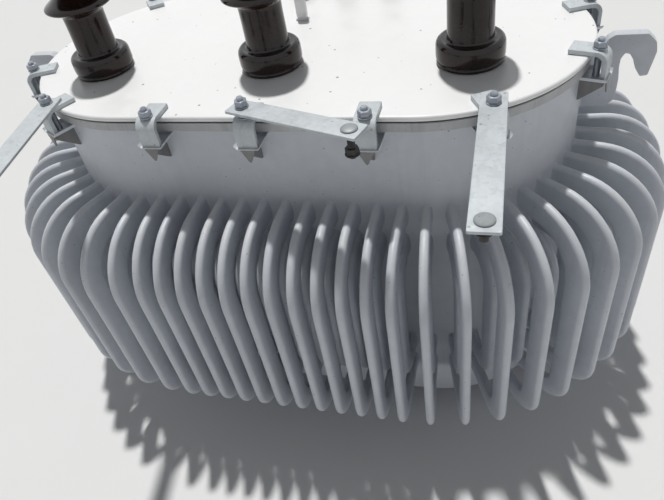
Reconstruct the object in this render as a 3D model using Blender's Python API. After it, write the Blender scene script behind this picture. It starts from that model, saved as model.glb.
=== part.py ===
"""Oil-filled distribution transformer: an obround tank ringed by two nested rows of flattened cooling tubes."""

import bmesh
import bpy
import numpy as np
from mathutils import Matrix, Vector

# Heights above the ground, in metres.
SKID_HEIGHT = 0.052
TANK_HEIGHT = 0.7974
CURB_DEPTH = 0.018
GASKET_THICK = 0.004
LID_THICK = 0.010
FIT = 0.0003

# The tank wall in plan: two half circles joined by straight runs.
STRAIGHT_HALF = 0.2879
WALL_RADIUS = 0.3036
WALL_THICK = 0.008
CURB_OUT = 0.0117
GASKET_OUT = 0.0097
LID_OUT = 0.0147
CORNER_STEPS = 16

# Cooling tubes. The outer row wraps round the inner row in the same planes.
FRONT_TUBES = 13
END_TUBES = 19
TUBE_COUNT = 2 * (FRONT_TUBES + END_TUBES)
TUBE_SHIFT = 0.0246
TUBE_THICK = 0.019
TUBE_FLAT = 0.55
OUTER_REACH = 0.198
TUBE_WIDTH = OUTER_REACH * 4 / 11
OUTER_BEND = 0.103
OUTER_LOW_BEND = 0.042
TUBE_FOOT = 0.163
OUTER_STEPS = 3
ROW_GAP = 0.014
INNER_ROUND = 0.684
INNER_STEPS = 2

# Rim clamps.
CLAMP_WIDTH = 0.040
CLAMP_THICK = 0.009
CLAMP_INNER = -0.022
CLAMP_OUTER = 0.048
CLAMP_DROP = 0.044
CLAMP_BEND = 0.0125
STUD_OUT = 0.028
STUD_RADIUS = 0.0065
NUT_RADIUS = 0.0122
NUT_HEIGHT = 0.0138
STUD_TOP = 0.007
SEAT_OVERLAP = 0.0005
LEDGE_WIDTH = 0.048
LEDGE_THICK = 0.006
LEDGE_REACH = 0.052
GUSSET_DEPTH = 0.045
GUSSET_THICK = 0.006

# Mounting straps.
STRAP_WIDTH = 0.045
STRAP_THICK = 0.008
STRAP_HOLE = 0.008
STRAP_END = 0.0225
STRAP_BOLT_HEAD = 0.0152
STRAP_BOLT_DOME = 0.0065
STRAP_BOLT_REACH = 0.027

# Bushings on the lid.
HV_SPACING = 0.3957
HV_MIDDLE = -0.0183
HV_Y = -0.114
HV_HEIGHT = 0.345
LV_Y = 0.260
LV_SPACING = 0.110
LV_HEIGHT = 0.085
BUSHING_SIDES = 16

# Channels under the tank.
SKID_LENGTH = 0.920
SKID_INSIDE = 0.130
SKID_WIDTH = 0.060
CROSS_WIDTH = 0.080

# Lifting lugs at the two ends: the hook's outline as distances out from the wall and down from the lid's top.
LUG_THICK = 0.012
LUG_DROP = 0.160
LUG_CLEAR = 0.042
LUG_HOOK = (
    (0.034, 0.018), (0.048, 0.0115), (0.102, 0.0105), (0.123, 0.026), (0.130, 0.086), (0.123, 0.090),
    (0.111, 0.089), (0.096, 0.076), (0.083, 0.053), (0.075, 0.049), (0.066, 0.053), (0.0615, 0.062),
    (0.071, 0.106), (0.066, 0.118), (0.064, 0.146), (0.050, LUG_DROP), (0.000, LUG_DROP),
)
LUG_STEP = 0.010

# The lifting bar on the lid.
BAR_X = -0.0158
BAR_Y = 0.110
BAR_WIDTH = 0.024
BAR_HEIGHT = 0.085
BAR_THICK = 0.011
BAR_HOLE = 0.007
BAR_FOOT = 0.004
BAR_EASE = 0.006

# Fittings on the far side, away from the viewer.
FILLER_X = 0.360
FILLER_Y = 0.215
DRAIN_HEIGHT = 0.105

COLOURS = {
    "tank_grey": (0.60, 0.62, 0.65),
    "lid_grey": (0.82, 0.83, 0.84),
    "galvanised": (0.62, 0.64, 0.62),
    "porcelain": (0.045, 0.022, 0.015),
    "brass": (0.72, 0.55, 0.25),
    "rubber": (0.03, 0.03, 0.03),
    "zinc": (0.55, 0.55, 0.54),
}
METALS = ("galvanised", "brass", "zinc")

TANK_TOP = SKID_HEIGHT + TANK_HEIGHT
GASKET_TOP = TANK_TOP + GASKET_THICK + FIT
LID_TOP = GASKET_TOP + LID_THICK + FIT

# The tubes start below the lugs and end a share of the tank's height above its floor.
OUTER_TOP = LID_TOP - LUG_DROP - LUG_CLEAR - TUBE_WIDTH / 2
OUTER_BOTTOM = SKID_HEIGHT + TUBE_FOOT * TANK_HEIGHT


def material(name):
    """The named material, made once."""
    found = bpy.data.materials.get(name)
    if found:
        return found
    made = bpy.data.materials.new(name)
    made.use_nodes = True
    shader = made.node_tree.nodes["Principled BSDF"]
    shader.inputs["Base Color"].default_value = (*COLOURS[name], 1.0)
    shader.inputs["Metallic"].default_value = 1.0 if name in METALS else 0.0
    shader.inputs["Roughness"].default_value = 0.4
    return made


def add_object(name, points, faces, finish):
    """An object from points and faces, with its normals turned outwards."""
    mesh = bpy.data.meshes.new(name)
    mesh.from_pydata([tuple(p) for p in points], [], [tuple(f) for f in faces])
    work = bmesh.new()
    work.from_mesh(mesh)
    bmesh.ops.recalc_face_normals(work, faces=work.faces)
    work.to_mesh(mesh)
    work.free()
    thing = bpy.data.objects.new(name, mesh)
    bpy.context.scene.collection.objects.link(thing)
    mesh.materials.append(material(finish))
    return thing


def as_cutter(thing):
    """Hides a helper so that it isn't a node."""
    thing.hide_render = True
    thing.display_type = "WIRE"
    return thing


def combine(thing, other, operation):
    """Adds a Boolean of this kind with the other object."""
    step = thing.modifiers.new(operation.lower(), "BOOLEAN")
    step.operation = operation
    step.solver = "EXACT"
    step.object = as_cutter(other)
    return thing


def smooth(thing):
    """Shades a round piece smooth."""
    for face in thing.data.polygons:
        face.use_smooth = True
    return thing


def tower(rings):
    """Points and faces of a closed body whose cross-sections are these rings, each with the same count."""
    count = len(rings[0])
    points = [p for ring in rings for p in ring]
    faces = []
    for level in range(len(rings) - 1):
        low = level * count
        for i in range(count):
            j = (i + 1) % count
            faces.append((low + i, low + j, low + count + j, low + count + i))
    faces.append(tuple(reversed(range(count))))
    top = (len(rings) - 1) * count
    faces.append(tuple(range(top, top + count)))
    return points, faces


def merge_bodies(bodies):
    """Points and faces of several bodies in one list."""
    points = []
    faces = []
    for some_points, some_faces in bodies:
        start = len(points)
        points.extend(some_points)
        faces.extend(tuple(start + i for i in face) for face in some_faces)
    return points, faces


def placed(body, matrix):
    """The body with its points moved by the matrix."""
    points, faces = body
    return [tuple(matrix @ Vector(p)) for p in points], faces


def turned(profile, sides):
    """A closed body of revolution about Z, from (radius, height) pairs going up."""
    rings = []
    for radius, height in profile:
        ring = []
        for i in range(sides):
            angle = 2 * np.pi * i / sides
            ring.append((radius * np.cos(angle), radius * np.sin(angle), height))
        rings.append(ring)
    return tower(rings)


def box(low, high):
    """A box between two corners."""
    (x0, y0, z0), (x1, y1, z1) = low, high
    ring = [(x0, y0), (x1, y0), (x1, y1), (x0, y1)]
    return tower([[(x, y, z0) for x, y in ring], [(x, y, z1) for x, y in ring]])


def prism(outline, thick):
    """A plate in the XZ plane from (x, z) pairs, centred on Y."""
    back = [(x, thick / 2, z) for x, z in outline]
    front = [(x, -thick / 2, z) for x, z in outline]
    return tower([front, back])


def plan_ring(out):
    """The tank's plan moved outwards by this much, anticlockwise from the front left."""
    ring = []
    for side, first in ((1, -90), (-1, 90)):
        for i in range(CORNER_STEPS + 1):
            angle = np.radians(first + 180 * i / CORNER_STEPS)
            radius = WALL_RADIUS + out
            ring.append((side * STRAIGHT_HALF + radius * np.cos(angle), radius * np.sin(angle)))
    return np.array(ring)


WALL_RING = plan_ring(0.0)
WALL_NEXT = np.roll(WALL_RING, -1, axis=0)
WALL_SPANS = np.hypot(*(WALL_NEXT - WALL_RING).T)
WALL_MARKS = np.concatenate([[0.0], np.cumsum(WALL_SPANS)])
WALL_LENGTH = WALL_MARKS[-1]
FRONT_MIDDLE = WALL_LENGTH - STRAIGHT_HALF


def along_wall(distance, out=0.0):
    """The point at this distance round the wall, moved outwards, and the outward direction there."""
    distance = distance % WALL_LENGTH
    i = min(int(np.searchsorted(WALL_MARKS, distance, side="right")) - 1, len(WALL_RING) - 1)
    share = (distance - WALL_MARKS[i]) / WALL_SPANS[i]
    ring = plan_ring(out)
    after = ring[(i + 1) % len(ring)]
    point = ring[i] * (1 - share) + after * share
    run = WALL_NEXT[i] - WALL_RING[i]
    outward = np.array([run[1], -run[0]]) / np.hypot(*run)
    return point, outward


def straight_mark(share, front):
    """The distance round the wall of a point on a straight run, a share of its half length from its middle."""
    x = share * STRAIGHT_HALF
    return FRONT_MIDDLE + x if front else FRONT_MIDDLE + WALL_LENGTH / 2 - x


def end_mark(side, angle):
    """The distance round the wall of a point on a rounded end, by degrees back from that end's tip."""
    run = WALL_LENGTH / 2 - 2 * STRAIGHT_HALF
    start = 0.0 if side > 0 else WALL_LENGTH / 2
    return start + run * (0.5 + side * angle / 180)


def stand_at(distance, out, height):
    """A frame on the wall: X along the outward direction, Z up."""
    point, outward = along_wall(distance, out)
    spin = np.arctan2(outward[1], outward[0])
    return Matrix.Translation((point[0], point[1], height)) @ Matrix.Rotation(spin, 4, "Z")


def obround(name, out, low, high, finish, ease=0.0):
    """A full obround slab between two heights, its top edge eased by a chamfer."""
    rings = []
    for height, inset in ((low, 0.0), (high - ease, 0.0), (high, ease)):
        rings.append([(x, y, height) for x, y in plan_ring(out - inset)])
    if ease == 0.0:
        rings.pop(1)
    return add_object(name, *tower(rings), finish)


def tube_path(reach, top_bend, low_bend, top, bottom, steps):
    """The centre line of one tube in its own plane, as (outward, height) pairs and their directions."""
    path = [(-WALL_THICK / 2, top)]
    turns = [(1.0, 0.0)]
    for i in range(steps + 1):
        angle = np.pi / 2 * i / steps
        path.append((reach - top_bend + top_bend * np.sin(angle), top - top_bend + top_bend * np.cos(angle)))
        turns.append((np.cos(angle), -np.sin(angle)))
    for i in range(steps + 1):
        angle = np.pi / 2 * i / steps
        path.append((reach - low_bend + low_bend * np.cos(angle), bottom + low_bend - low_bend * np.sin(angle)))
        turns.append((-np.sin(angle), -np.cos(angle)))
    path.append((-WALL_THICK / 2, bottom))
    turns.append((-1.0, 0.0))
    return path, turns


def tube(path, turns, section):
    """A tube swept along its path, from section points given as (across the plane, in the plane)."""
    rings = []
    for (out, height), (run_out, run_up) in zip(path, turns):
        ring = []
        for across, inside in section:
            ring.append((out - inside * run_up, across, height + inside * run_out))
        rings.append(ring)
    return tower(rings)


def outer_section():
    """The flattened outline of an outer tube, six-sided."""
    half = TUBE_WIDTH / 2
    flat = half * TUBE_FLAT
    thick = TUBE_THICK / 2
    return [(0.0, half), (thick, flat), (thick, -flat), (0.0, -half), (-thick, -flat), (-thick, flat)]


def inner_section():
    """The flattened outline of an inner tube, four-sided."""
    half = TUBE_WIDTH / 2
    thick = TUBE_THICK / 2
    return [(thick, half), (thick, -half), (-thick, -half), (-thick, half)]


def tube_pair():
    """One outer tube and the inner tube nested in it."""
    reach = OUTER_REACH - TUBE_WIDTH / 2
    step = TUBE_WIDTH + ROW_GAP
    inner_bend = INNER_ROUND * (reach - step)
    outer_line = tube_path(reach, OUTER_BEND, OUTER_LOW_BEND, OUTER_TOP, OUTER_BOTTOM, OUTER_STEPS)
    inner_line = tube_path(
        reach - step, inner_bend, inner_bend, OUTER_TOP - step, OUTER_BOTTOM + step, INNER_STEPS
    )
    return merge_bodies([tube(*outer_line, outer_section()), tube(*inner_line, inner_section())])


def ledge():
    """The bracket that a clamp stands on, with its tapered gusset, in the wall's own frame."""
    top = LID_TOP - CLAMP_DROP - FIT
    low = top - LEDGE_THICK
    plate = box((-WALL_THICK / 2, -LEDGE_WIDTH / 2, low), (LEDGE_REACH, LEDGE_WIDTH / 2, top))
    rib = prism(
        [
            (-WALL_THICK / 2, low - GUSSET_DEPTH),
            (0.004, low - GUSSET_DEPTH),
            (LEDGE_REACH * 0.8, low + LEDGE_THICK / 2),
            (-WALL_THICK / 2, low + LEDGE_THICK / 2),
        ],
        GUSSET_THICK,
    )
    return plate, rib


def wall_panel(name, start, end, tube_marks, clamp_marks):
    """A stretch of tank wall with its cooling tubes and clamp ledges in one body."""
    start += FIT / 2
    end -= FIT / 2
    marks = [start]
    for turn in (-WALL_LENGTH, 0.0, WALL_LENGTH):
        marks.extend(m + turn for m in WALL_MARKS[:-1] if start < m + turn < end)
    marks.append(end)
    marks.sort()
    outside = [along_wall(m)[0] for m in marks]
    inside = [along_wall(m, -WALL_THICK)[0] for m in marks]
    plan = outside + inside[::-1]
    low = SKID_HEIGHT + FIT
    high = TANK_TOP - CURB_DEPTH - FIT
    panel = add_object(
        name,
        *tower([[(x, y, low) for x, y in plan], [(x, y, high) for x, y in plan]]),
        "tank_grey",
    )
    tubes = [placed(tube_pair(), stand_at(m, 0.0, 0.0)) for m in tube_marks]
    plates = [placed(ledge()[0], stand_at(m, 0.0, 0.0)) for m in clamp_marks]
    ribs = [placed(ledge()[1], stand_at(m, 0.0, 0.0)) for m in clamp_marks]
    fittings = add_object(name + "_fittings", *merge_bodies(tubes + plates), "tank_grey")
    combine(panel, fittings, "UNION")
    if ribs:
        combine(panel, add_object(name + "_ribs", *merge_bodies(ribs), "tank_grey"), "UNION")
    return panel


def clamp(name, mark, lift, seat_nut=False):
    """A rim clamp with its stud and nut. The nut is raised by lift where a strap lies under it.

    A seat nut is added under a strap that stands clear of the clamp.
    """
    top = LID_TOP + FIT + CLAMP_THICK
    low = LID_TOP - CLAMP_DROP
    outline = [(CLAMP_INNER, LID_TOP + FIT), (CLAMP_INNER, top)]
    for i in range(4):
        angle = np.pi / 2 * i / 3
        outline.append(
            (CLAMP_OUTER - CLAMP_BEND + CLAMP_BEND * np.sin(angle), top - CLAMP_BEND + CLAMP_BEND * np.cos(angle))
        )
    inner_bend = CLAMP_BEND - CLAMP_THICK
    outline.extend([(CLAMP_OUTER, low), (CLAMP_OUTER - CLAMP_THICK, low)])
    for i in range(3):
        angle = np.pi / 2 * (1 - i / 2)
        outline.append(
            (
                CLAMP_OUTER - CLAMP_BEND + inner_bend * np.sin(angle),
                top - CLAMP_BEND + inner_bend * np.cos(angle),
            )
        )
    frame = stand_at(mark, 0.0, 0.0)
    bar = add_object(name, *placed(prism(outline, CLAMP_WIDTH), frame), "galvanised")
    seat = top + lift
    stud = turned([(STUD_RADIUS, low), (STUD_RADIUS, seat + NUT_HEIGHT + STUD_TOP)], 8)
    overlap = 0.0 if lift else SEAT_OVERLAP
    nut = turned([(NUT_RADIUS, seat - overlap), (NUT_RADIUS, seat + NUT_HEIGHT)], 6)
    shift = Matrix.Translation((STUD_OUT, 0, 0))
    combine(bar, add_object(name + "_stud", *placed(stud, frame @ shift), "zinc"), "UNION")
    combine(bar, add_object(name + "_nut", *placed(nut, frame @ shift), "zinc"), "UNION")
    if seat_nut:
        lower = turned([(NUT_RADIUS, top - SEAT_OVERLAP), (NUT_RADIUS, top + NUT_HEIGHT)], 6)
        combine(bar, add_object(name + "_seat", *placed(lower, frame @ shift), "zinc"), "UNION")
    return bar


def stud_point(mark):
    """Where a clamp's stud stands in plan."""
    point, outward = along_wall(mark)
    return point + outward * STUD_OUT


def strap(name, mark, heading, length, overhang, raised):
    """A flat mounting strap held by a clamp's nut, with its carriage bolt near the free end.

    The strap runs past the clamp's stud by the overhang. A raised one lies on the clamp's seat nut.
    """
    x, y = stud_point(mark)
    low = LID_TOP + 2 * FIT + CLAMP_THICK + (NUT_HEIGHT if raised else 0.0)
    high = low + STRAP_THICK
    end = length - overhang
    frame = Matrix.Translation((x, y, 0)) @ Matrix.Rotation(np.radians(heading), 4, "Z")
    bar = add_object(
        name,
        *placed(box((-overhang, -STRAP_WIDTH / 2, low), (end, STRAP_WIDTH / 2, high)), frame),
        "galvanised",
    )
    far = end - STRAP_END
    holes = []
    for spot in (0.0, far):
        hole = turned([(STRAP_HOLE, low - 0.01), (STRAP_HOLE, high + 0.01)], 12)
        holes.append(placed(hole, frame @ Matrix.Translation((spot, 0, 0))))
    combine(bar, add_object(name + "_holes", *merge_bodies(holes), "galvanised"), "DIFFERENCE")
    under = low - FIT
    bolt = turned(
        [
            (STUD_RADIUS, under - STRAP_BOLT_REACH),
            (STUD_RADIUS, under - NUT_HEIGHT),
            (NUT_RADIUS, under - NUT_HEIGHT + 0.0002),
            (NUT_RADIUS, under),
            (STUD_RADIUS, under + 0.0001),
            (STUD_RADIUS, high + FIT - 0.0001),
            (STRAP_BOLT_HEAD, high + FIT),
            (STRAP_BOLT_HEAD * 0.7, high + STRAP_BOLT_DOME),
        ],
        10,
    )
    add_object(name + "_bolt", *placed(bolt, frame @ Matrix.Translation((far, 0, 0))), "zinc")
    return bar


def hv_bushing(name, x):
    """A tall porcelain bushing with a bell foot and sheds, and its brass terminal."""
    base = LID_TOP + FIT
    profile = [
        (0.0652, 0.0), (0.0652, 0.012), (0.059, 0.036), (0.041, 0.053), (0.041, 0.127), (0.074, 0.137),
        (0.073, 0.143), (0.040, 0.167), (0.038, 0.185), (0.069, 0.196), (0.068, 0.203), (0.038, 0.227),
        (0.036, 0.245), (0.064, 0.256), (0.063, 0.263), (0.034, 0.287), (0.031, HV_HEIGHT),
    ]
    body = placed(turned(profile, BUSHING_SIDES), Matrix.Translation((x, HV_Y, base)))
    smooth(add_object(name, *body, "porcelain"))
    cap = [
        (0.024, 0.0), (0.024, 0.012), (0.0075, 0.0122), (0.0075, 0.020), (0.013, 0.0202),
        (0.013, 0.030), (0.0075, 0.0302), (0.0075, 0.060),
    ]
    head = placed(turned(cap, 10), Matrix.Translation((x, HV_Y, base + HV_HEIGHT + FIT)))
    smooth(add_object(name + "_terminal", *head, "brass"))


def lv_bushing(name, x):
    """A short porcelain bushing and its brass terminal."""
    base = LID_TOP + FIT
    profile = [
        (0.029, 0.0), (0.029, 0.016), (0.020, 0.026), (0.020, 0.040), (0.029, 0.054), (0.018, 0.068),
        (0.016, LV_HEIGHT),
    ]
    body = placed(turned(profile, 12), Matrix.Translation((x, LV_Y, base)))
    smooth(add_object(name, *body, "porcelain"))
    cap = [
        (0.015, 0.0), (0.015, 0.010), (0.006, 0.0102), (0.006, 0.045),
    ]
    head = placed(turned(cap, 10), Matrix.Translation((x, LV_Y, base + LV_HEIGHT + FIT)))
    smooth(add_object(name + "_terminal", *head, "brass"))


def lifting_lug(name, side):
    """A hook-shaped lifting plate at one end of the tank."""
    face = STRAIGHT_HALF + WALL_RADIUS + FIT
    under = TANK_TOP - CURB_DEPTH - 0.002
    outline = [(face, under), (face + CURB_OUT + LUG_STEP, under)]
    outline.extend((face + out, LID_TOP - drop) for out, drop in LUG_HOOK)
    plate = prism(outline, LUG_THICK)
    spin = Matrix.Rotation(0.0 if side > 0 else np.pi, 4, "Z")
    return add_object(name, *placed(plate, spin), "tank_grey")


def lid_lifting_bar():
    """The small upright bar with a lifting hole, welded on the lid behind the middle bushing."""
    half = BAR_WIDTH / 2
    outline = [
        (-half - BAR_FOOT, 0.0), (half + BAR_FOOT, 0.0), (half, BAR_EASE), (half, BAR_HEIGHT - BAR_EASE),
        (half - BAR_EASE, BAR_HEIGHT), (-half + BAR_EASE, BAR_HEIGHT), (-half, BAR_HEIGHT - BAR_EASE),
        (-half, BAR_EASE),
    ]
    at = Matrix.Translation((BAR_X, BAR_Y, LID_TOP + FIT))
    bar = add_object("lid_lifting_bar", *placed(prism(outline, BAR_THICK), at), "lid_grey")
    pin = placed(turned([(BAR_HOLE, -BAR_THICK), (BAR_HOLE, BAR_THICK)], 12), Matrix.Rotation(np.pi / 2, 4, "X"))
    hole = placed(pin, at @ Matrix.Translation((0, 0, BAR_HEIGHT - BAR_WIDTH * 0.8)))
    return combine(bar, add_object("lid_lifting_hole", *hole, "lid_grey"), "DIFFERENCE")


def filler_cap():
    """The oil filler on the far side of the lid."""
    profile = [
        (0.026, 0.0), (0.026, 0.010), (0.019, 0.0105), (0.019, 0.032), (0.030, 0.0325), (0.030, 0.050), (0.024, 0.056),
    ]
    at = Matrix.Translation((FILLER_X, FILLER_Y, LID_TOP + FIT))
    return smooth(add_object("filler_cap", *placed(turned(profile, 12), at), "lid_grey"))


def drain_valve():
    """The drain valve low on the back of the tank, with its blanking plug."""
    profile = [
        (0.024, 0.0), (0.024, 0.008), (0.013, 0.0085), (0.013, 0.026), (0.020, 0.0265), (0.020, 0.052),
        (0.016, 0.0525), (0.016, 0.066),
    ]
    at = Matrix.Translation((0.0, WALL_RADIUS + FIT, DRAIN_HEIGHT)) @ Matrix.Rotation(-np.pi / 2, 4, "X")
    return smooth(add_object("drain_valve", *placed(turned(profile, 12), at), "brass"))


def base_frame():
    """Two skid channels along the tank and the cross-channel between them."""
    half = SKID_LENGTH / 2
    for name, side in (("skid_front", -1), ("skid_back", 1)):
        near, far = sorted((side * SKID_INSIDE, side * (SKID_INSIDE + SKID_WIDTH)))
        add_object(name, *box((-half, near, 0), (half, far, SKID_HEIGHT)), "tank_grey")
    reach = SKID_INSIDE - FIT
    cross = box((-CROSS_WIDTH / 2, -reach, 0), (CROSS_WIDTH / 2, reach, SKID_HEIGHT))
    add_object("base_cross", *cross, "tank_grey")


def tank_body():
    """The closed tank with its top curb, solid because it stands full of core, coils and oil."""
    rings = []
    levels = (
        (SKID_HEIGHT + FIT, -WALL_THICK - FIT),
        (TANK_TOP - CURB_DEPTH, -WALL_THICK - FIT),
        (TANK_TOP - CURB_DEPTH, CURB_OUT),
        (TANK_TOP, CURB_OUT),
    )
    for height, out in levels:
        rings.append([(x, y, height) for x, y in plan_ring(out)])
    return add_object("tank_body", *tower(rings), "tank_grey")


# Each strap: name, its clamp's mark on the wall, heading in degrees, length, overhang, raised.
STRAPS = (
    ("strap_left", end_mark(-1, -61.0), -80.4, 0.3515, 0.022, False),
    ("strap_middle", straight_mark(0.0, True), -18.5, 0.267, 0.0228, True),
    ("strap_right", end_mark(1, -65.0), -89.6, 0.3515, 0.035, False),
)
PLAIN_CLAMPS = (
    ("front_1", straight_mark(-0.69, True)),
    ("front_2", straight_mark(0.763, True)),
    ("right_1", end_mark(1, -18.0)),
    ("right_2", end_mark(1, 20.0)),
    ("back_1", end_mark(1, 54.0)),
    ("back_2", straight_mark(0.0, False)),
    ("back_3", end_mark(-1, 54.0)),
    ("left_1", end_mark(-1, 20.0)),
    ("left_2", end_mark(-1, -22.7)),
)


def build():
    """Makes every node of the transformer."""
    for thing in list(bpy.data.objects):
        bpy.data.objects.remove(thing)
    base_frame()
    tank_body()
    obround("gasket", GASKET_OUT, TANK_TOP + FIT, GASKET_TOP, "rubber")
    obround("lid", LID_OUT, GASKET_TOP + FIT, LID_TOP, "lid_grey", 0.003)
    pitch = WALL_LENGTH / TUBE_COUNT
    tube_marks = [(FRONT_MIDDLE + TUBE_SHIFT + i * pitch) % WALL_LENGTH for i in range(TUBE_COUNT)]
    clamp_marks = [(name, mark, 0.0, False) for name, mark in PLAIN_CLAMPS]
    for name, mark, heading, length, overhang, raised in STRAPS:
        lift = STRAP_THICK + 2 * FIT + (NUT_HEIGHT if raised else 0.0)
        clamp_marks.append((name, mark, lift, raised))
        strap(name, mark, heading, length, overhang, raised)
    for name, mark, lift, seat_nut in clamp_marks:
        clamp("clamp_" + name, mark, lift, seat_nut)
    start = FRONT_MIDDLE + TUBE_SHIFT - pitch * FRONT_TUBES / 2
    counts = (("front", FRONT_TUBES), ("right", END_TUBES), ("back", FRONT_TUBES), ("left", END_TUBES))
    for name, count in counts:
        end = start + count * pitch
        inside = [m for m in tube_marks if (m - start) % WALL_LENGTH < end - start]
        ledges = [m for _, m, _, _ in clamp_marks if (m - start) % WALL_LENGTH < end - start]
        wall_panel("tube_bank_" + name, start, end, inside, ledges)
        start = end
    for i, name in enumerate(("left", "middle", "right")):
        hv_bushing("hv_bushing_" + name, HV_MIDDLE + (i - 1) * HV_SPACING)
    for i in range(4):
        lv_bushing(f"lv_bushing_{i + 1}", (i - 1.5) * LV_SPACING)
    lifting_lug("lifting_lug_right", 1)
    lifting_lug("lifting_lug_left", -1)
    lid_lifting_bar()
    filler_cap()
    drain_valve()


build()
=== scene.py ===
"""Looks of an oil-filled distribution transformer with an obround tank and nested cooling tubes.

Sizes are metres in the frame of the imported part: ground at z = 0, X along the tank, -Y towards the tall
bushings.
"""

import logging
from dataclasses import dataclass
from enum import Enum
from functools import cache
from typing import Protocol

import bpy
import numpy as np
from mathutils import Matrix, Vector
from mathutils.geometry import tessellate_polygon

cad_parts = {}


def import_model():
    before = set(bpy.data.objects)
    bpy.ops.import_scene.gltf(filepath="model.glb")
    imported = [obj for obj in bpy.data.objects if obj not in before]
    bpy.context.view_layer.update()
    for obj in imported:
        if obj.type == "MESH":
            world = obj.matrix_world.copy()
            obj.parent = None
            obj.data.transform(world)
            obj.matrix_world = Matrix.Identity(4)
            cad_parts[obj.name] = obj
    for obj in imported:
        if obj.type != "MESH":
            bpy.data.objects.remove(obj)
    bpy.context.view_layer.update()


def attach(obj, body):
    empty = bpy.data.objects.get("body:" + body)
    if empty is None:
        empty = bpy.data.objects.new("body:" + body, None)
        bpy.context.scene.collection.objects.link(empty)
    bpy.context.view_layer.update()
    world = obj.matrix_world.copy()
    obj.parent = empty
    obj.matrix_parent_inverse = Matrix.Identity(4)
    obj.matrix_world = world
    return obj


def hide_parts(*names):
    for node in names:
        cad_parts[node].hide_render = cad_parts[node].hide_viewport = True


LOG = logging.getLogger("transformer")
ROOT = "root"
FIT = 0.0003  # gap between pieces that rest on each other
UPRIGHT = Matrix(((1, 0, 0, 0), (0, 0, -1, 0), (0, 1, 0, 0), (0, 0, 0, 1)))  # stands a flat plate up along X
FACING = Matrix(((0, 0, 1, 0), (1, 0, 0, 0), (0, 1, 0, 0), (0, 0, 0, 1)))  # stands a flat plate up across X
SIDEWAYS = np.array([0.0, 1.0, 0.0])
Socket = bpy.types.NodeSocket
Tree = bpy.types.NodeTree


class Slot(Enum):
    """Material slots of the record that the pieces take their finish from."""

    TANK = "tank_grey"
    LID = "lid_grey"
    GALVANISED = "galvanised"
    ZINC = "zinc"
    PORCELAIN = "porcelain"
    BRASS = "brass"
    RUBBER = "rubber"


@dataclass
class Body:
    """A closed surface as arrays: points, four-sided faces and three-sided faces."""

    points: np.ndarray
    quads: np.ndarray
    tris: np.ndarray

    def moved(self, matrix: Matrix) -> "Body":
        """The body with its points carried by a matrix.

        Args:
            matrix: the turn and shift that the points go through.

        Returns:
            A new body with the same faces.
        """
        turn = np.array(matrix)[:3, :3]
        shift = np.array(matrix)[:3, 3]
        return Body(self.points @ turn.T + shift, self.quads, self.tris)

    @staticmethod
    def joined(bodies: list["Body"]) -> "Body":
        """One body from several, their faces renumbered.

        Args:
            bodies: the bodies to put together.

        Returns:
            The bodies as one set of arrays.
        """
        starts = np.cumsum([0] + [len(b.points) for b in bodies[:-1]])
        return Body(
            np.concatenate([b.points for b in bodies]),
            np.concatenate([b.quads + s for b, s in zip(bodies, starts)]),
            np.concatenate([b.tris + s for b, s in zip(bodies, starts)]),
        )

    def outward(self) -> "Body":
        """The body with its faces turned so that its volume is positive.

        Returns:
            This body, or a copy with every face reversed.
        """
        faces = np.concatenate([self.quads[:, [0, 1, 2]], self.quads[:, [0, 2, 3]], self.tris])
        a, b, c = (self.points[faces[:, i]] for i in range(3))
        if np.einsum("ij,ij->i", a, np.cross(b, c)).sum() >= 0:
            return self
        return Body(self.points, self.quads[:, ::-1], self.tris[:, ::-1])


def filled(ring: np.ndarray) -> np.ndarray:
    """Triangles that fill a flat ring of any outline, turned the way the ring runs.

    Args:
        ring: the ring's points, shape (n, 3).

    Returns:
        Corner numbers, shape (triangles, 3).
    """
    tris = np.array(tessellate_polygon([[Vector(p) for p in ring.tolist()]]))
    way = np.cross(ring, np.roll(ring, -1, axis=0)).sum(0)
    a, b, c = (ring[tris[:, i]] for i in range(3))
    wrong = np.cross(b - a, c - a) @ way < 0
    return np.where(wrong[:, None], tris[:, ::-1], tris)


def bands(rows: np.ndarray, after: np.ndarray, sides: int) -> np.ndarray:
    """Four-sided faces between rings of points, wrapping round each ring.

    Args:
        rows: number of each ring's first point.
        after: number of the first point of the ring that follows it.
        sides: points in a ring.

    Returns:
        Corner numbers, shape (faces, 4).
    """
    i, n = rows[:, None], after[:, None]
    j = np.arange(sides)
    k = (j + 1) % sides
    return np.stack([i + j, i + k, n + k, n + j], -1).reshape(-1, 4)


def loft(rings: np.ndarray, flat: bool = False) -> Body:
    """A closed body through rings of points.

    The end rings are shut by fans from their middles, or filled as flat outlines, which may be hollow.

    Args:
        rings: array of shape (rings, points in a ring, 3).
        flat: True to fill the ends as flat outlines.

    Returns:
        The closed body, with its faces pointing outwards.
    """
    count, sides, _ = rings.shape
    points = rings.reshape(-1, 3)
    starts = np.arange(count) * sides
    quads = bands(starts[:-1], starts[1:], sides)
    if flat:
        caps = np.concatenate([filled(rings[0])[:, ::-1], filled(rings[-1]) + starts[-1]])
        return Body(points, quads, caps).outward()
    edge = np.arange(sides)
    after = (edge + 1) % sides
    middle = np.full(sides, len(points))
    low = np.stack([middle, after, edge], -1)
    high = np.stack([middle + 1, starts[-1] + edge, starts[-1] + after], -1)
    ends = np.stack([rings[0].mean(0), rings[-1].mean(0)])
    return Body(np.concatenate([points, ends]), quads, np.concatenate([low, high])).outward()


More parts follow.
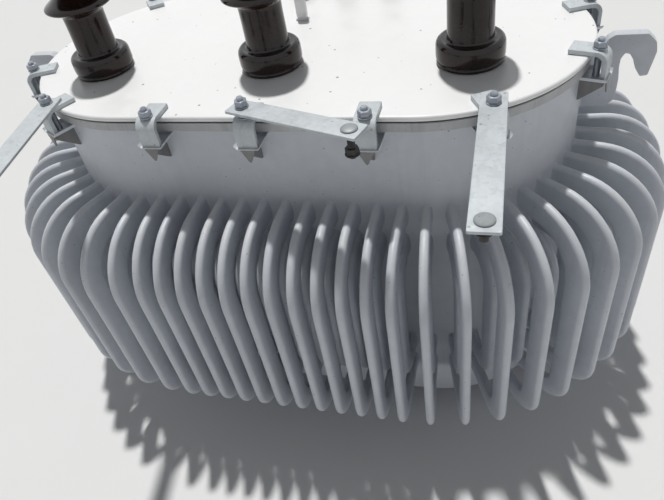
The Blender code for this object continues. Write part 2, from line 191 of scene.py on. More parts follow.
def turned(profile: np.ndarray, sides: int, twist: float = 0.0) -> Body:
    """A body of revolution about Z.

    The point at (height step i, angle a) is (r_i cos a, r_i sin a, z_i).

    Args:
        profile: array of (radius, height) pairs going up.
        sides: points round the axis.
        twist: angle of the first point.

    Returns:
        The closed body.
    """
    angle = twist + 2 * np.pi * np.arange(sides) / sides
    radius, height = np.asarray(profile, float).T
    x = radius[:, None] * np.cos(angle)
    y = radius[:, None] * np.sin(angle)
    return loft(np.stack([x, y, np.broadcast_to(height[:, None], x.shape)], -1))


def inset(outline: np.ndarray, amount: float) -> np.ndarray:
    """The outline with each point moved inwards along the mean of its two edges' normals.

    Args:
        outline: anticlockwise (x, y) pairs.
        amount: distance to move in.

    Returns:
        The moved outline.
    """
    run = np.roll(outline, -1, axis=0) - outline
    normal = np.stack([run[:, 1], -run[:, 0]], -1)
    normal /= np.linalg.norm(normal, axis=1, keepdims=True) + 1e-12
    both = normal + np.roll(normal, 1, axis=0)
    scale = np.maximum(1.0 + np.einsum("ij,ij->i", normal, np.roll(normal, 1, axis=0)), 0.5)
    return outline - amount * both / scale[:, None]


def level(plan: np.ndarray, height: float) -> np.ndarray:
    """The plan's points at a height."""
    return np.column_stack([plan, np.full(len(plan), height)])


def quarter(steps: int) -> np.ndarray:
    """Angles of a quarter turn."""
    return np.linspace(0, np.pi / 2, steps)


def plate(outline: np.ndarray, low: float, high: float, ease: float) -> Body:
    """A flat plate whose edges are eased by a quarter round.

    At each face four rings, inset by e(1 - sin t) at depth e(1 - cos t), lead to the full outline.

    Args:
        outline: anticlockwise (x, y) pairs.
        low: height of the lower face.
        high: height of the upper face.
        ease: radius of the round.

    Returns:
        The closed body.
    """
    t = quarter(4)
    steps = list(zip(ease * (1 - np.sin(t)), ease * (1 - np.cos(t))))
    rings = [level(inset(outline, less), low + depth) for less, depth in steps]
    rings += [level(inset(outline, less), high - depth) for less, depth in steps[::-1]]
    return loft(np.array(rings), True)


def drawn(outline: np.ndarray, stops: list[tuple[float, float]]) -> Body:
    """A bar along X whose outline is inset by a given amount at each stop.

    Args:
        outline: anticlockwise (y, z) pairs.
        stops: (x, inset) pairs.

    Returns:
        The closed bar.
    """
    rings = [np.insert(inset(outline, less), 0, x, axis=1) for x, less in stops]
    return loft(np.array(rings), True)


def softened(line: np.ndarray) -> np.ndarray:
    """The open line with its corners cut at a quarter of their edges, and the new corners cut once more.

    Args:
        line: points, shape (n, 2).

    Returns:
        The softer line, its ends where they were.
    """
    for _ in range(2):
        both = np.stack([line[:-1] * 0.75 + line[1:] * 0.25, line[:-1] * 0.25 + line[1:] * 0.75], 1)
        line = np.concatenate([line[:1], both.reshape(-1, 2), line[-1:]])
    return line


def rounded(outline: np.ndarray, radius: float, steps: int = 4) -> np.ndarray:
    """The outline with each corner replaced by a curve.

    Each corner becomes a quadratic curve from a point on the edge before it to one on the edge after it.

    Args:
        outline: anticlockwise (x, y) pairs.
        radius: distance along each edge where the curve starts.
        steps: points on each curve.

    Returns:
        The softened outline.
    """
    before = np.roll(outline, 1, axis=0) - outline
    after = np.roll(outline, -1, axis=0) - outline
    len_before = np.linalg.norm(before, axis=1, keepdims=True)
    len_after = np.linalg.norm(after, axis=1, keepdims=True)
    start = outline + before / len_before * np.minimum(radius, len_before * 0.45)
    end = outline + after / len_after * np.minimum(radius, len_after * 0.45)
    t = np.linspace(0, 1, steps)[None, :, None]
    curve = (1 - t) ** 2 * start[:, None] + 2 * t * (1 - t) * outline[:, None] + t**2 * end[:, None]
    return curve.reshape(-1, 2)


def swept(centre: np.ndarray, across: np.ndarray, section: np.ndarray, swell: np.ndarray) -> Body:
    """A section carried along a path that lies in a plane.

    At step i the section point (a, c) goes to centre_i + a n_i + c b, where n_i is the path's normal in the
    plane and b is the plane's own normal; swell_i is added to the section along its own direction.

    Args:
        centre: path points, shape (steps, 3).
        across: unit normal of the path's plane.
        section: (in the plane, across it) pairs.
        swell: how much wider the section is at each step.

    Returns:
        The closed body.
    """
    tangent = np.gradient(centre, axis=0)
    tangent /= np.linalg.norm(tangent, axis=1, keepdims=True)
    normal = np.cross(across, tangent)
    length = np.linalg.norm(section, axis=1, keepdims=True)
    direction = section / length
    grown = section[None] + swell[:, None, None] * direction[None]
    rings = centre[:, None] + grown[..., :1] * normal[:, None] + grown[..., 1:] * across
    return loft(rings)


@dataclass(frozen=True)
class TankPlan:
    """The tank wall seen from above: two half circles joined by straight runs."""

    straight_half: float = 0.2879
    radius: float = 0.3036
    flats: int = 16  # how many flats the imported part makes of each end
    points: int = 256  # of a ring

    @property
    def length(self) -> float:
        """Distance once round the wall."""
        return 4 * self.straight_half + 2 * np.pi * self.radius

    def at(self, marks: np.ndarray, out: float = 0.0, flat: bool = False) -> tuple[np.ndarray, np.ndarray]:
        """Points and outward directions at distances round the wall.

        The distance runs from the middle of the front towards +X. On a straight run the direction is fixed;
        on an end it turns with distance over radius. On the flats the radius shrinks by cos(f / 2) / cos(g),
        where f is a flat's angle and g the angle from its middle.

        Args:
            marks: distances round the wall.
            out: distance outside the wall.
            flat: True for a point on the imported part's flats.

        Returns:
            Arrays of points and of unit directions, both (n, 2).
        """
        end = np.pi * self.radius
        s = np.mod(np.asarray(marks, float) + self.straight_half, self.length)
        run = 2 * self.straight_half
        knots = np.cumsum([0.0, run, end, run, end])
        angle = np.interp(s, knots, np.radians([-90, -90, 90, 90, 270]))
        first = np.clip(s - knots[0], 0, run)
        second = np.clip(s - knots[2], 0, run)
        normal = np.stack([np.cos(angle), np.sin(angle)], -1)
        middle = np.stack([-self.straight_half + first - second, np.zeros_like(s)], -1)
        share = np.ones_like(s)
        if flat:
            step = np.pi / self.flats
            aside = np.mod(angle + np.pi / 2, step) - step / 2
            bent = (s > knots[1]) & (s < knots[2]) | (s > knots[3])
            share = np.where(bent, np.cos(step / 2) / np.cos(aside), 1.0)
        return middle + ((self.radius + out) * share)[:, None] * normal, normal

    def straight(self, share: float, front: bool) -> float:
        """The distance of a point on a straight run, a share of its half length from its middle."""
        x = share * self.straight_half
        return x if front else self.length / 2 - x

    def end(self, side: int, angle: float) -> float:
        """The distance of a point on a rounded end, by degrees back from that end's tip."""
        tip = self.length / 4 if side > 0 else self.length * 3 / 4
        return tip + side * self.radius * float(np.radians(angle))

    def ring(self, out: float) -> np.ndarray:
        """The plan moved outwards, anticlockwise."""
        marks = np.arange(self.points) / self.points * self.length
        return self.at(marks, out)[0]

    def stand(self, mark: float) -> Matrix:
        """A frame on the wall with X outwards and Z up.

        Args:
            mark: distance round the wall.

        Returns:
            The matrix that carries a piece there.
        """
        point, normal = self.at(np.array([mark]), flat=True)
        spin = float(np.arctan2(normal[0, 1], normal[0, 0]))
        return Matrix.Translation((*point[0], 0.0)) @ Matrix.Rotation(spin, 4, "Z")


@dataclass(frozen=True)
class Heights:
    """Heights above the ground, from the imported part."""

    skid: float = 0.052  # underside of the tank
    lid_top: float = 0.864
    tank_top: float = 0.8494  # top of the curb
    curb_depth: float = 0.018


PLAN = TankPlan()
UP = Heights()


class NodeBoard:
    """Adds and links shader nodes in one tree."""

    def __init__(self, tree: Tree) -> None:
        """Keeps the tree that the nodes go into."""
        self.tree = tree

    def add(self, kind: str, **values: object) -> bpy.types.Node:
        """A new node with its properties and inputs set.

        Args:
            kind: the node's type without its prefix.
            **values: a property's name, or in_ and an input's name or number.

        Returns:
            The node.
        """
        node = self.tree.nodes.new("ShaderNode" + kind)
        for key, value in values.items():
            if not key.startswith("in_"):
                setattr(node, key, value)
                continue
            spot = key[3:]
            spot = int(spot) if spot.isdigit() else spot.replace("_", " ")
            if isinstance(value, Socket):
                self.tree.links.new(value, node.inputs[spot])
            else:
                node.inputs[spot].default_value = value
        return node

    def link(self, start: Socket, end: Socket) -> None:
        """Joins an output to an input."""
        self.tree.links.new(start, end)

    def ramp(self, value: Socket, low: float, high: float) -> Socket:
        """A smooth step of the value from 0 at low to 1 at high."""
        values = {"in_Value": value, "in_From_Min": low, "in_From_Max": high}
        return self.add("MapRange", interpolation_type="SMOOTHSTEP", **values).outputs["Result"]

    def maths(self, kind: str, *terms: object) -> Socket:
        """The result of a maths node on its terms."""
        values = {f"in_{i}": term for i, term in enumerate(terms)}
        return self.add("Math", operation=kind, **values).outputs[0]

    def noise(self, place: Socket, scale: object, detail: float) -> bpy.types.Node:
        """A noise texture's node."""
        return self.add("TexNoise", in_Vector=place, in_Scale=scale, in_Detail=detail)

    def blend(self, amount: object, first: object, second: object) -> Socket:
        """A colour mixed from two by an amount."""
        node = self.add("Mix", data_type="RGBA", in_0=amount, in_6=first, in_7=second)
        return node.outputs[2]


class Coat(NodeBoard):
    """The node board of one material, with its surface shader and its object coordinates."""

    def __init__(self, material: bpy.types.Material) -> None:
        """Finds the material's shader and adds the coordinates.

        Args:
            material: a new material that uses nodes.
        """
        super().__init__(material.node_tree)
        self.shader = material.node_tree.nodes["Principled BSDF"]
        self.place = self.add("TexCoord").outputs["Object"]

    def layer(self, tree: Tree, **numbers: float) -> Socket:
        """What a shared group gives at this material's coordinates."""
        values = {"in_" + label: number for label, number in numbers.items()}
        return self.add("Group", node_tree=tree, in_Vector=self.place, **values).outputs[0]

    def over(self, base: object, mask: object, amount: float, colour: tuple[float, ...]) -> Socket:
        """The base with a colour over it where the mask is, by an amount."""
        return self.blend(self.maths("MULTIPLY", mask, amount), base, colour)

    def surface(self, base: object, mask: object, gain: float, roughness: float) -> None:
        """Sets the shader's colour, and its roughness to roughness + gain x mask."""
        self.link(base, self.shader.inputs["Base Color"])
        self.link(self.maths("MULTIPLY_ADD", mask, gain, roughness), self.shader.inputs["Roughness"])

    def bump(self, scale: float, detail: float, depth: float, strength: float) -> None:
        """Bumps the surface by noise.

        Args:
            scale: bumps to a metre.
            detail: how many finer noises are added.
            depth: height of the bumps, in metres.
            strength: share of that height that shows.
        """
        noise = self.noise(self.place, scale, detail)
        node = self.add("Bump", in_Height=noise.outputs["Fac"], in_Distance=depth, in_Strength=strength)
        self.link(node.outputs[0], self.shader.inputs["Normal"])


class Effects:
    """Shader node groups that several finishes share, each made once."""

    @staticmethod
    def _group(name: str, output: str, *numbers: str) -> tuple[NodeBoard, bpy.types.Node, bpy.types.Node]:
        """A new group that takes a vector and numbers and gives one number.

        Args:
            name: the group's name.
            output: name of what it gives.
            *numbers: names of the numbers that it takes.

        Returns:
            The board, the inputs' node and the outputs' node.
        """
        tree = bpy.data.node_groups.new(name, "ShaderNodeTree")
        tree.interface.new_socket("Vector", in_out="INPUT", socket_type="NodeSocketVector")
        for label in numbers:
            tree.interface.new_socket(label, in_out="INPUT", socket_type="NodeSocketFloat")
        tree.interface.new_socket(output, in_out="OUTPUT", socket_type="NodeSocketFloat")
        return NodeBoard(tree), tree.nodes.new("NodeGroupInput"), tree.nodes.new("NodeGroupOutput")

    @staticmethod
    @cache
    def clouds() -> Tree:
        """Broad and fine noise summed to a tone between 0 and 1.

        Returns:
            The group, which takes a scale.
        """
        board, start, end = Effects._group("clouds", "Tone", "Scale")
        broad = board.noise(start.outputs[0], start.outputs[1], 3.0)
        fine = board.noise(start.outputs[0], board.maths("MULTIPLY", start.outputs[1], 9.0), 6.0)
        less = board.maths("MULTIPLY", fine.outputs["Fac"], 0.4)
        most = board.maths("MULTIPLY", broad.outputs["Fac"], 0.6)
        board.link(board.maths("ADD", less, most), end.inputs[0])
        return board.tree

    @staticmethod
    @cache
    def specks() -> Tree:
        """Small round spots of random size, as a mask.

        Returns:
            The group, which takes a scale and a size.
        """
        board, start, end = Effects._group("specks", "Mask", "Scale", "Size")
        cells = board.add("TexVoronoi", in_Vector=start.outputs[0], in_Scale=start.outputs[1])
        share = board.add("SeparateColor", in_0=cells.outputs["Color"])
        few = board.maths("POWER", share.outputs[0], 6.0)
        reach = board.maths("MULTIPLY", few, start.outputs[2])
        inside = board.maths("SUBTRACT", reach, cells.outputs["Distance"])
        board.link(board.ramp(inside, 0.0, 0.04), end.inputs[0])
        return board.tree

    @staticmethod
    @cache
    def settled() -> Tree:
        """Where dust lies: faces that look up, broken by noise.

        Returns:
            The group.
        """
        board, start, end = Effects._group("settled", "Mask")
        facing = board.add("NewGeometry")
        parts = board.add("SeparateXYZ", in_0=facing.outputs["Normal"])
        upward = board.ramp(parts.outputs[2], 0.25, 0.95)
        noise = board.noise(start.outputs[0], 14.0, 8.0)
        patchy = board.ramp(noise.outputs["Fac"], 0.38, 0.72)
        board.link(board.maths("MULTIPLY", upward, patchy), end.inputs[0])
        return board.tree

    @staticmethod
    @cache
    def runs() -> Tree:
        """Thin upright streaks, as rain leaves them.

        Returns:
            The group.
        """
        board, start, end = Effects._group("runs", "Mask")
        squeeze = board.add("Mapping", in_Vector=start.outputs[0], in_Scale=(60.0, 60.0, 3.0))
        noise = board.noise(squeeze.outputs[0], 1.0, 4.0)
        board.link(board.ramp(noise.outputs["Fac"], 0.54, 0.72), end.inputs[0])
        return board.tree

    @staticmethod
    @cache
    def spangle() -> Tree:
        """The crystal patches of a hot-dipped zinc coat, as a tone.

        Returns:
            The group, which takes a scale.
        """
        board, start, end = Effects._group("spangle", "Tone", "Scale")
        bend = board.noise(start.outputs[0], 40.0, 2.0)
        pull = board.add("VectorMath", operation="SCALE", in_0=bend.outputs["Color"], in_Scale=0.02)
        moved = board.add("VectorMath", operation="ADD", in_0=start.outputs[0], in_1=pull.outputs[0])
        cells = board.add("TexVoronoi", in_Vector=moved.outputs[0], in_Scale=start.outputs[1])
        tone = board.add("SeparateColor", in_0=cells.outputs["Color"])
        board.link(tone.outputs[0], end.inputs[0])
        return board.tree


@dataclass(frozen=True)
class Finish:
    """What every finish shares."""

    name: str
    slot: Slot
    colour: tuple[float, float, float]
    roughness: float
    metallic: float = 0.0

    def material(self) -> bpy.types.Material:
        """The finish as a material, made once.

        Returns:
            The material.
        """
        found = bpy.data.materials.get(self.name)
        if found:
            return found
        made = bpy.data.materials.new(self.name)
        made.use_nodes = True
        made.diffuse_color = self.toned(1.0)
        coat = Coat(made)
        coat.shader.inputs["Metallic"].default_value = self.metallic
        self.paint(coat)
        return made

    def toned(self, amount: float) -> tuple[float, ...]:
        """The colour made lighter or darker."""
        return (*(min(1.0, c * amount) for c in self.colour), 1.0)

    def paint(self, coat: Coat) -> None:
        """Adds the nodes; each kind of finish has its own."""
        raise NotImplementedError


@dataclass(frozen=True)
class PaintFinish(Finish):
    """Sprayed enamel with cloudy tone, dust, specks, rain streaks and orange peel."""

    dust: tuple[float, float, float] = (0.62, 0.59, 0.54)
    dusty: float = 0.35
    streaky: float = 0.12
    specky: float = 0.6
    spots: float = 110.0  # speck cells to a metre
    cloudy: float = 0.045  # how far the tone drifts

    def paint(self, coat: Coat) -> None:
        """Mixes the layers from the paint outwards.

        Args:
            coat: where the nodes go.
        """
        tone = coat.ramp(coat.layer(Effects.clouds(), Scale=5.0), 0.35, 0.65)
        base = coat.blend(tone, self.toned(1.0 - self.cloudy), self.toned(1.0 + self.cloudy))
        base = coat.over(base, coat.layer(Effects.runs()), self.streaky, self.toned(0.62))
        settled = coat.layer(Effects.settled())
        base = coat.over(base, settled, self.dusty, (*self.dust, 1.0))
        specks = coat.layer(Effects.specks(), Scale=self.spots, Size=0.2)
        base = coat.over(base, specks, self.specky, (0.10, 0.09, 0.08, 1.0))
        coat.surface(base, settled, 0.25, self.roughness)
        coat.bump(scale=260.0, detail=2.0, depth=0.00025, strength=0.35)


@dataclass(frozen=True)
class ZincFinish(Finish):
    """Zinc coated steel with spangle, dull patches and fine scratches."""

    spangle: float = 130.0  # patches to a metre
    worn: float = 0.25  # how strong the dull white patches are

    def paint(self, coat: Coat) -> None:
        """Mixes spangle, patches and scratches.

        Args:
            coat: where the nodes go.
        """
        spangle = coat.layer(Effects.spangle(), Scale=self.spangle)
        base = coat.blend(spangle, self.toned(0.93), self.toned(1.05))
        dull = coat.ramp(coat.layer(Effects.clouds(), Scale=16.0), 0.47, 0.62)
        base = coat.over(base, dull, self.worn, self.toned(1.16))
        base = coat.over(base, coat.layer(Effects.runs()), 0.25, self.toned(0.55))
        specks = coat.layer(Effects.specks(), Scale=90.0, Size=0.3)
        base = coat.over(base, specks, 0.5, (0.16, 0.12, 0.09, 1.0))
        coat.surface(base, dull, 0.22, self.roughness)
        coat.bump(scale=420.0, detail=4.0, depth=0.0002, strength=0.4)


@dataclass(frozen=True)
class GlazeFinish(Finish):
    """Glossy glaze over porcelain, a little uneven, with settled dust."""

    coat_weight: float = 0.12
    coat_roughness: float = 0.05
    specular: float = 0.28

    def paint(self, coat: Coat) -> None:
        """Mixes the glaze's tone and dust under a clear coat.

        Args:
            coat: where the nodes go.
        """
        tone = coat.ramp(coat.layer(Effects.clouds(), Scale=22.0), 0.4, 0.66)
        base = coat.blend(tone, self.toned(0.7), self.toned(1.7))
        settled = coat.layer(Effects.settled())
        base = coat.over(base, settled, 0.10, (0.30, 0.27, 0.24, 1.0))
        coat.surface(base, settled, 0.18, self.roughness)
        coat.shader.inputs["Coat Weight"].default_value = self.coat_weight
        coat.shader.inputs["Coat Roughness"].default_value = self.coat_roughness
        coat.shader.inputs["Specular IOR Level"].default_value = self.specular
        coat.bump(scale=30.0, detail=1.0, depth=0.0012, strength=0.35)


@dataclass(frozen=True)
class PlainFinish(Finish):
    """Brass, rubber, or steel painted near black as shade: cloudy tone, grime and grain."""

    def paint(self, coat: Coat) -> None:
        """Mixes tone, grime and grain.

        Args:
            coat: where the nodes go.
        """
        tone = coat.layer(Effects.clouds(), Scale=30.0)
        base = coat.blend(coat.ramp(tone, 0.38, 0.66), self.toned(0.72), self.toned(1.12))
        base = coat.over(base, coat.layer(Effects.settled()), 0.18, (0.45, 0.42, 0.38, 1.0))
        coat.surface(base, tone, 0.3, self.roughness - 0.15)
        coat.bump(scale=300.0, detail=3.0, depth=0.0002, strength=0.4)


TANK_PAINT = PaintFinish("tank_paint", Slot.TANK, (0.575, 0.605, 0.655), 0.38)
CURB_PAINT = PaintFinish(
    "curb_paint",
    Slot.TANK,
    (0.475, 0.48, 0.49),
    0.50,
    dust=(0.42, 0.38, 0.33),
    streaky=0.45,
    specky=0.9,
    cloudy=0.10,
)
# Tank paint made lighter for the ledges: painted light on their upturned ends, not a different paint.
LIT_LEDGE_PAINT = PaintFinish("ledge_paint", Slot.TANK, (0.66, 0.69, 0.73), 0.34, dusty=0.15)
# Tank paint darkened nearly to black for the webs and noses: painted shade under the ledges, not a different
# paint.
WEB_PAINTED_SHADE = PaintFinish("web_paint", Slot.TANK, (0.23, 0.225, 0.225), 0.55, streaky=0.4, cloudy=0.12)
LID_PAINT = PaintFinish(
    "lid_paint",
    Slot.LID,
    (0.89, 0.895, 0.905),
    0.34,
    dust=(0.80, 0.77, 0.72),
    dusty=0.06,
    streaky=0.0,
    specky=0.7,
    spots=60.0,
    cloudy=0.01,
)
GALVANISED = ZincFinish("galvanised_coat", Slot.GALVANISED, (0.52, 0.56, 0.585), 0.50, 0.15)
BOLT_ZINC = ZincFinish("bolt_zinc", Slot.GALVANISED, (0.30, 0.325, 0.335), 0.52, 0.25, spangle=500.0)
FASTENER = ZincFinish("fastener_zinc", Slot.ZINC, (0.33, 0.36, 0.41), 0.30, 0.35, spangle=400.0)
# Near black on the zinc slot: painted shade for the strap bolts' nuts and shanks, which hang in the straps'
# shadow.
NUT_IN_PAINTED_SHADE = PlainFinish("nut_painted_shade", Slot.ZINC, (0.045, 0.043, 0.042), 0.55, 0.4)
GLAZE = GlazeFinish("brown_glaze", Slot.PORCELAIN, (0.016, 0.0080, 0.0062), 0.13)
BRASS = PlainFinish("dull_brass", Slot.BRASS, (0.56, 0.42, 0.20), 0.42, 0.95)
RUBBER = PlainFinish("black_rubber", Slot.RUBBER, (0.030, 0.030, 0.032), 0.80)


def added(name: str, data: bpy.types.ID) -> bpy.types.Object:
    """A new object in the scene.

    Args:
        name: the object's name.
        data: its mesh, light or camera.

    Returns:
        The object.
    """
    thing = bpy.data.objects.new(name, data)
    bpy.context.scene.collection.objects.link(thing)
    return thing


def piece(
    name: str, body: Body, finish: Finish, replaces: tuple[str, ...], sharp: float = 35.0
) -> bpy.types.Object:
    """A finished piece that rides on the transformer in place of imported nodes.

    Args:
        name: the piece's name.
        body: its closed surface.
        finish: what it is coated with.
        replaces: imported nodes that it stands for.
        sharp: edges that turn by more degrees than this stay sharp.

    Returns:
        The new object.
    """
    mesh = bpy.data.meshes.new(name)
    mesh.from_pydata(body.points.tolist(), [], body.quads.tolist() + body.tris.tolist())
    mesh.polygons.foreach_set("use_smooth", np.ones(len(mesh.polygons), bool))
    mesh.set_sharp_from_angle(angle=np.radians(sharp))
    mesh.materials.append(finish.material())
    thing = added(name, mesh)
    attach(thing, ROOT)
    if replaces:
        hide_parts(*replaces)
    LOG.info("%s: %d points", name, len(body.points))
    return thing


@dataclass
class CoolingBank:
    """A stretch of tank wall with its nested cooling tubes and the ledges under its clamps."""

    side: str
    start: float  # as a distance round the wall
    tubes: int  # pairs of an outer and an inner tube
    pitch: float
    ledges: list[float]  # as distances round the wall
    thick: float = 0.008  # of the wall
    width: float = 0.054  # of a tube, away from the wall
    across: float = 0.019  # of a tube, along the wall
    reach: float = 0.1704  # of the outer tubes' centre line
    top_bend: float = 0.112
    low_bend: float = 0.051
    inner_bend: float = 0.061
    top: float = 0.635
    bottom: float = 0.173
    step: float = 0.0754  # from the outer tubes in to the inner ones
    weld: float = 0.0032
    ledge_top: float = 0.8197
    ledge_reach: float = 0.052
    ledge_width: float = 0.048
    lip: float = 0.0065  # how far a ledge's ends turn up
    gauge: float = 0.0024  # thickness of a ledge

    def wall(self) -> Body:
        """The curved wall panel, carried from the floor plate to the curb.

        Returns:
            The closed panel.
        """
        marks = np.linspace(self.start, self.start + self.tubes * self.pitch, 10 * self.tubes + 1)
        plan = np.concatenate([PLAN.at(marks)[0], PLAN.at(marks, -self.thick)[0][::-1]])
        heights = (UP.skid + FIT, UP.skid + 0.004, UP.tank_top - UP.curb_depth - FIT)
        return loft(np.array([level(plan, z) for z in heights]), True)

    def tube(self, inward: float, top_bend: float, low_bend: float, sides: int) -> Body:
        """One flattened tube in the XZ plane.

        The centre line leaves the wall level, turns down by a quarter circle, runs straight and turns back
        in. The section is flat-sided with half-round edges, and the sides bulge a little. At each root it
        swells by w exp(-d / w) at depth d, which is the weld.

        Args:
            inward: how far the centre line lies inside the outer tubes' one.
            top_bend: radius of the upper bend.
            low_bend: radius of the lower bend.
            sides: points round the section.

        Returns:
            The closed tube.
        """
        reach, top, bottom = self.reach - inward, self.top - inward, self.bottom + inward
        roots = np.array([-0.004, 0.0, 0.0015, 0.004, 0.008, 0.014])
        t = quarter(13)
        upper_x = reach - top_bend + top_bend * np.sin(t)
        upper_z = top - top_bend + top_bend * np.cos(t)
        lower_x = reach - low_bend + low_bend * np.cos(t)
        lower_z = bottom + low_bend - low_bend * np.sin(t)
        first = roots[roots < upper_x[0] - 0.002]
        last = roots[roots < lower_x[-1] - 0.002][::-1]
        x = np.concatenate([first, upper_x, lower_x, last])
        z = np.concatenate([np.full(len(first), top), upper_z, lower_z, np.full(len(last), bottom)])
        centre = np.column_stack([x, np.zeros_like(x), z])
        depth = np.concatenate([first, np.ones(2 * len(t)), last])
        swell = self.weld * np.exp(-np.maximum(depth, 0.0) / self.weld)
        half = self.across / 2
        bend = np.linspace(-np.pi / 2, np.pi / 2, sides // 2 - 1)
        edge_in = self.width / 2 - half + half * np.cos(bend)
        edge_by = half * 0.93 * np.sin(bend)
        inside = np.concatenate([edge_in, [0.0], -edge_in, [0.0]])
        beside = np.concatenate([edge_by, [half], -edge_by, [-half]])
        return swept(centre, SIDEWAYS, np.column_stack([inside, beside]), swell)

    def ring_of(self, single: Body) -> Body:
        """Copies a tube to every mark of this bank, as one array sum of outward and sideways parts.

        Args:
            single: the tube in the XZ plane, X outwards.

        Returns:
            All the bank's tubes.
        """
        marks = self.start + self.pitch * (np.arange(self.tubes) + 0.5)
        point, normal = PLAN.at(marks, flat=True)
        side = np.stack([-normal[:, 1], normal[:, 0]], -1)
        out, beside, height = single.points.T
        plan = point[:, None] + out[None, :, None] * normal[:, None] + beside[None, :, None] * side[:, None]
        points = np.concatenate([plan, np.broadcast_to(height[None, :, None], (*plan.shape[:2], 1))], -1)
        shift = (np.arange(self.tubes) * len(single.points))[:, None, None]
        return Body(
            points.reshape(-1, 3),
            (single.quads[None] + shift).reshape(-1, 4),
            (single.tris[None] + shift).reshape(-1, 3),
        )

    def ledge(self) -> Body:
        """A thin plate with turned-up ends under a clamp's leg, X outwards.

        It rises by lip t^1.4, where t goes from 0 to 1 over the turned part.

        Returns:
            The closed plate.
        """
        flat, turned_part = 0.0205, 0.0055
        y = np.linspace(-1.0, 1.0, 25) * (self.ledge_width / 2 + 0.002)
        t = np.clip((np.abs(y) - flat) / turned_part, 0.0, 1.0)
        under = np.column_stack([y, self.ledge_top - self.gauge + self.lip * t**1.4])
        outline = np.concatenate([under, under[::-1] + [0.0, self.gauge]])
        return drawn(outline, [(-0.003, 0.0), (self.ledge_reach - 0.001, 0.0), (self.ledge_reach, 0.0004)])

    def web(self) -> Body:
        """What carries the plate: an upright web from the wall and a pointed nose below its outer edge.

        Returns:
            The web and the nose, X outwards.
        """
        gap = 0.0002
        low = self.ledge_top - self.gauge - gap
        foot, half, corner = low - 0.050, 0.0025, 0.002
        side = [(-0.003, foot), (0.004, foot), (0.044, low - 0.016), (0.0485, low), (-0.003, low)]
        rib = plate(rounded(np.array(side), corner, 3), -half, half, ease=0.0006)
        tip = low - 0.027
        front = [(-0.0015, tip), (0.0015, tip), (0.0150, low), (-0.0150, low)]
        nose = plate(rounded(np.array(front), corner, 3), 0.0488, self.ledge_reach - gap, ease=0.0004)
        return Body.joined([rib.moved(UPRIGHT), nose.moved(FACING)])

    def build(self) -> None:
        """Makes and dresses the bank's pieces."""
        outer = self.tube(0.0, self.top_bend, self.low_bend, 20)
        inner = self.tube(self.step, self.inner_bend, self.inner_bend, 16)
        stands = [PLAN.stand(mark) for mark in self.ledges]
        made = (
            ("wall", self.wall(), TANK_PAINT),
            ("outer_tubes", self.ring_of(outer), TANK_PAINT),
            ("inner_tubes", self.ring_of(inner), TANK_PAINT),
            # the ledges take the lightened paint, which is painted light
            ("ledges", Body.joined([self.ledge().moved(stand) for stand in stands]), LIT_LEDGE_PAINT),
            # the webs take the darkened paint, which is painted shade
            ("webs", Body.joined([self.web().moved(stand) for stand in stands]), WEB_PAINTED_SHADE),
        )
        for name, body, finish in made:
            piece(f"bank_{self.side}_{name}", body, finish, ("tube_bank_" + self.side,))


@dataclass
class TankTop:
    """Tank shell with its curb, the gasket and the flat lid."""

    curb_out: float = 0.0117  # past the wall
    gasket_out: float = 0.0097
    lid_out: float = 0.0147
    lid_thick: float = 0.010
    lid_round: float = 0.0048
    weave: float = 0.0005  # unevenness of the lid plate

    def stacked(self, profile: list[tuple[float, float]]) -> Body:
        """Rings of the plan at (distance outside the wall, height) pairs, shut at both ends."""
        return loft(np.array([level(PLAN.ring(out), height) for out, height in profile]))

    def shell(self) -> Body:
        """The tank inside its wall panels, with the weld under the curb.

        Returns:
            The closed shell.
        """
        inside = -CoolingBank.thick - FIT
        under = UP.tank_top - UP.curb_depth
        bead = [(0.0006, 0.0042), (0.0022, 0.0022), (0.0040, 0.0004), (0.0050, -0.001)]
        side = [(inside, UP.skid + FIT), (inside, under - 0.0045)]
        return self.stacked(side + [(out, under - down) for out, down in bead])

    def band(self, out: float, low: float, high: float, cut: float) -> Body:
        """A flat band round the tank with its edges cut and its inside filled."""
        return self.stacked([(out - cut, low), (out, low + 0.001), (out, high - 0.001), (out - cut, high)])

    def lid(self) -> Body:
        """The lid plate: a quarter-round edge, then rings shrinking to the middle with a faint unevenness.

        Inside the rim the height adds weave (sin 9x cos 7y + sin(13x + 4y)) / 2, faded out at the rim.

        Returns:
            The closed lid.
        """
        top, low, out = UP.lid_top, UP.lid_top - self.lid_thick, self.lid_out
        t = quarter(6)
        upper = zip(out - self.lid_round * (1 - np.cos(t)), top - self.lid_round * (1 - np.sin(t)))
        edge = [(out - 0.0012, low), (out, low + 0.0012), *upper]
        rings = [level(PLAN.ring(distance), z) for distance, z in edge]
        rim = rings[-1][:, :2]
        spine = np.clip(rim, -PLAN.straight_half, PLAN.straight_half) * [1, 0]
        for share in np.linspace(0, 1, 26)[1:-1]:
            plan = rim * (1 - share) + spine * share
            x, y = plan.T
            fade = min(1.0, share * 3)
            uneven = (np.sin(9 * x) * np.cos(7 * y) + np.sin(13 * x + 4 * y)) / 2 * fade
            rings.append(np.column_stack([plan, top + self.weave * (uneven - 1) * fade]))
        return loft(np.array(rings))

    def build(self) -> None:
        """Makes and dresses the shell, curb, gasket and lid."""
        curb = self.band(self.curb_out, UP.tank_top - UP.curb_depth, UP.tank_top, 0.001)
        gasket = self.band(self.gasket_out, UP.tank_top + FIT, UP.lid_top - self.lid_thick - FIT, 0.0006)
        piece("tank_shell", self.shell(), TANK_PAINT, ("tank_body",))
        piece("tank_curb", curb, CURB_PAINT, ("tank_body",))
        piece("lid_gasket", gasket, RUBBER, ("gasket",))
        piece("lid_plate", self.lid(), LID_PAINT, ("lid",))


